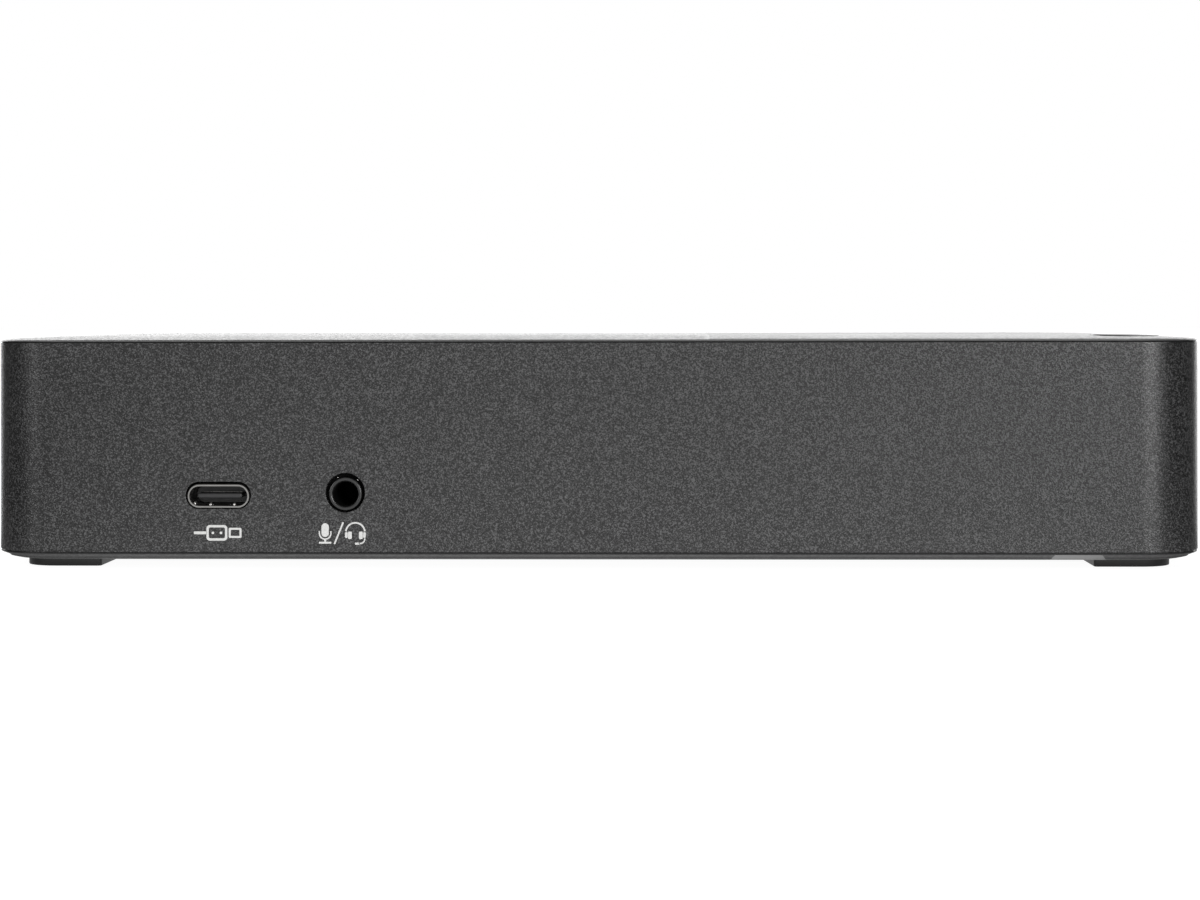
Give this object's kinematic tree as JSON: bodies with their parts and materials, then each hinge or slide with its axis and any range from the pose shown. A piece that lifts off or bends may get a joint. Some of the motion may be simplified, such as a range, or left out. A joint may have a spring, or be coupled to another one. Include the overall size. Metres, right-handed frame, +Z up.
{
  "type": "laptop docking station",
  "caption": "Low rounded desktop dock of dark grey grained plastic: sockets in the front and rear walls, a ridged lid with a round power button, a bevelled bottom cover and rubber feet.",
  "frame": {"origin": "on the desk under the middle of the case: the centre of the bottom of the bounding box, at the undersides of the feet", "axes": "+X to the right of someone facing the front wall, +Y towards the rear wall with the video and network sockets, +Z up; the front wall with the headset socket faces -Y"},
  "size_m": [0.18, 0.08, 0.0344],
  "materials": {
    "case_plastic": "fine grained dark grey, faint sparkle",
    "cover_plastic": "satin dark grey",
    "foot_rubber": "semi-gloss black",
    "button_plastic": "satin black",
    "socket_plastic": "black",
    "socket_steel": "nickel plated",
    "contact_gold": "gold plated",
    "board_green": "green solder mask",
    "chip_black": "moulded black",
    "pad_grey": "soft grey",
    "sink_aluminium": "extruded",
    "inductor_grey": "pressed grey",
    "capacitor_can": "bare can",
    "screw_steel": "zinc plated",
    "flex_tan": "amber film",
    "led_white": "translucent white"
  },
  "bodies": {
    "case": {"main_housing": "case_plastic", "top_cover": "case_plastic", "bottom_cover": "cover_plastic", "foot_front_left": "foot_rubber", "foot_front_right": "foot_rubber", "foot_rear_left": "foot_rubber", "foot_rear_right": "foot_rubber", "switch_body": "chip_black", "button_board": "board_green", "button_led": "led_white", "ribbon_cable": "flex_tan", "ribbon_connector": "socket_plastic", "main_board": "board_green", "front_usb_c_shell": "socket_steel", "front_usb_c_tongue": "socket_plastic", "host_usb_c_shell": "socket_steel", "host_usb_c_tongue": "socket_plastic", "hdmi_1_shell": "socket_steel", "hdmi_1_tongue": "socket_plastic", "hdmi_2_shell": "socket_steel", "hdmi_2_tongue": "socket_plastic", "displayport_shell": "socket_steel", "displayport_tongue": "socket_plastic", "usb_a_1_shell": "socket_steel", "usb_a_1_tongue": "socket_plastic", "usb_a_2_shell": "socket_steel", "usb_a_2_tongue": "socket_plastic", "ethernet_body": "socket_steel", "ethernet_contacts": "contact_gold", "dc_inlet_body": "socket_plastic", "dc_inlet_pin": "socket_steel", "audio_jack_body": "socket_plastic", "audio_jack_contact": "contact_gold", "lock_slot_plate": "socket_steel", "video_chip": "chip_black", "hub_chip": "chip_black", "network_chip": "chip_black", "network_transformer": "chip_black", "inductor_1": "inductor_grey", "inductor_2": "inductor_grey", "capacitor_1": "capacitor_can", "capacitor_2": "capacitor_can", "thermal_pad": "pad_grey", "heat_sink": "sink_aluminium", "board_screw_1": "screw_steel", "cover_screw_1": "screw_steel", "board_screw_2": "screw_steel", "cover_screw_2": "screw_steel", "board_screw_3": "screw_steel", "cover_screw_3": "screw_steel", "board_screw_4": "screw_steel", "cover_screw_4": "screw_steel"},
    "power_button": {"power_button": "button_plastic"},
    "switch_plunger": {"switch_plunger": "socket_plastic"}
  },
  "joints": [
    {"name": "power_button_press", "type": "slide", "parent": "case", "child": "power_button", "axis": [0, 0, -1], "range_m": [0, 0.0005], "stiffness_N_per_m": 3200},
    {"name": "switch_plunger_travel", "type": "slide", "parent": "case", "child": "switch_plunger", "axis": [0, 0, -1], "range_m": [0, 0.0005], "stiffness_N_per_m": 0.01, "springref_m": -0.0201}
  ],
  "couplings": [
    {"joint": "switch_plunger_travel", "follows": "power_button_press", "ratio": 1}
  ]
}
